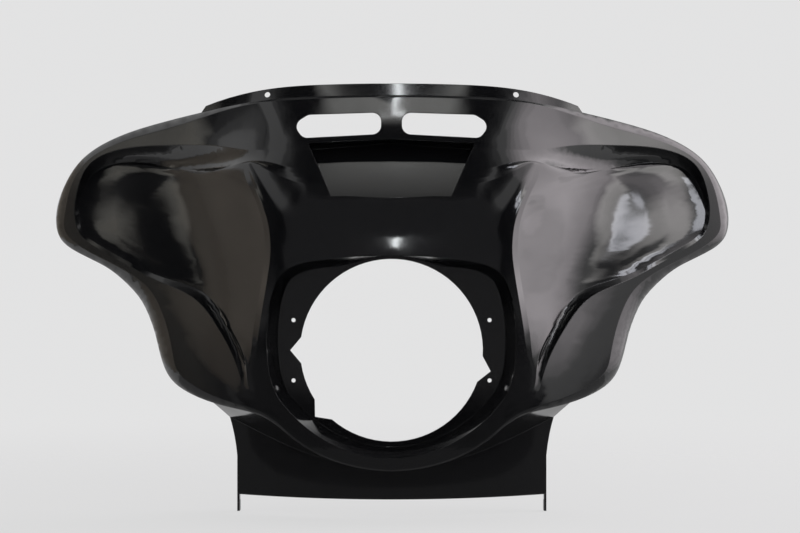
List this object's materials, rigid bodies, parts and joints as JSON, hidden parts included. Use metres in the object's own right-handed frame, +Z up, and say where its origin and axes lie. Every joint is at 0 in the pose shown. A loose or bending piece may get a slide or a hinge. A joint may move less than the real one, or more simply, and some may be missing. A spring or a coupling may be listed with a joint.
{
  "type": "motorcycle fairing",
  "caption": "One-piece fork-mounted motorcycle fairing shell with swept wings, side scoops, a headlight bucket, hood vents, a windshield lip and a lower apron.",
  "frame": {"origin": "centre of the headlight opening, on the front face of its flange", "axes": "X across the motorcycle, the front faces -Y, +Z up"},
  "size_m": [0.8802, 0.3443, 0.526],
  "materials": {
    "gloss_black": "gloss black paint on moulded plastic"
  },
  "bodies": {
    "root": {"fairing_shell": "gloss_black"}
  },
  "joints": []
}
